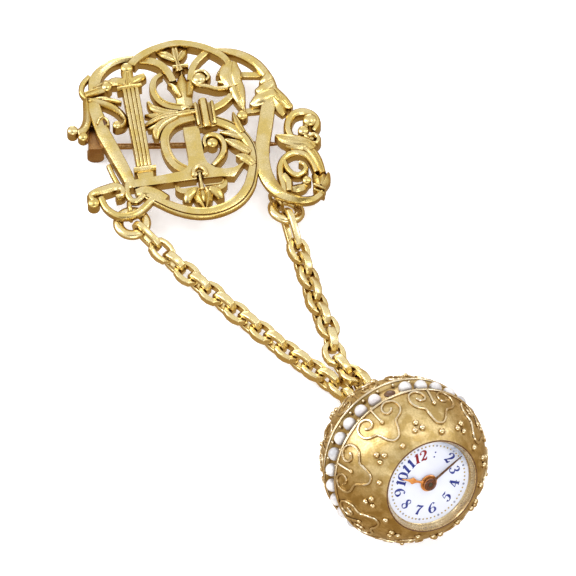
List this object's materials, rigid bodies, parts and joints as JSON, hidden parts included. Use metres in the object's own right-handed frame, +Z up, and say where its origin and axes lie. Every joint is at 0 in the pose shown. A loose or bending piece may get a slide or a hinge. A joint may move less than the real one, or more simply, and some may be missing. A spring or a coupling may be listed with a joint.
{
  "type": "pendant watch",
  "caption": "Pendant watch: pierced scrollwork brooch with a pin, two belcher chains and a ball watch with filigree and a belt of pearls.",
  "frame": {"origin": "centre of the footprint, on the surface that the watch lies on", "axes": "+Z up, +X towards the right of the brooch, +Y from the ball towards the brooch"},
  "size_m": [0.0591, 0.0856, 0.0239],
  "materials": {
    "brooch_gold": "satin, dark in the recesses",
    "chain_gold": "satin",
    "ball_gold": "matte bloomed",
    "copper": "satin",
    "steel": "satin",
    "pearl": "pearly",
    "enamel": "gloss",
    "crystal": "clear"
  },
  "bodies": {
    "brooch": {"brooch_frame": "brooch_gold", "pin_hinge": "brooch_gold", "pin_catch": "brooch_gold", "ring_left": "chain_gold", "ring_right": "chain_gold", "chain_left": "chain_gold", "chain_right": "chain_gold", "bow": "chain_gold", "back_shell": "ball_gold"},
    "pin": {"pin_stem": "copper"},
    "watch_front": {"front_shell": "ball_gold", "bezel": "ball_gold", "crystal": "crystal", "dial": "enamel", "movement": "steel", "pearl_01": "pearl", "pearl_02": "pearl", "pearl_03": "pearl", "pearl_04": "pearl", "pearl_05": "pearl", "pearl_06": "pearl", "pearl_07": "pearl", "pearl_08": "pearl", "pearl_09": "pearl", "pearl_10": "pearl", "pearl_11": "pearl", "pearl_12": "pearl", "pearl_13": "pearl", "pearl_14": "pearl", "pearl_15": "pearl", "pearl_16": "pearl", "pearl_17": "pearl", "pearl_18": "pearl", "pearl_19": "pearl", "pearl_20": "pearl", "pearl_21": "pearl", "pearl_22": "pearl", "pearl_23": "pearl", "pearl_24": "pearl", "pearl_25": "pearl", "pearl_26": "pearl", "pearl_27": "pearl", "pearl_28": "pearl"},
    "minute": {"minute_hand": "copper"},
    "hour": {"hour_hand": "copper"}
  },
  "joints": [
    {"name": "pin_opens", "type": "hinge", "parent": "brooch", "child": "pin", "pos_m": [-0.02558, 0.02748, 0.0012], "axis": [-0.0192, 0.9998, 0], "range_deg": [0, 75]},
    {"name": "front_winds", "type": "hinge", "parent": "brooch", "child": "watch_front", "pos_m": [0.01771, -0.03085, 0.01196], "axis": [0.4253, -0.7714, 0.4733], "continuous": true},
    {"name": "minute_turns", "type": "hinge", "parent": "watch_front", "child": "minute", "pos_m": [0.01771, -0.03085, 0.01196], "axis": [-0.4253, 0.7714, -0.4733], "continuous": true},
    {"name": "hour_turns", "type": "hinge", "parent": "watch_front", "child": "hour", "pos_m": [0.01771, -0.03085, 0.01196], "axis": [-0.4253, 0.7714, -0.4733], "continuous": true}
  ],
  "couplings": [
    {"joint": "hour_turns", "follows": "minute_turns", "ratio": 0.083333}
  ]
}
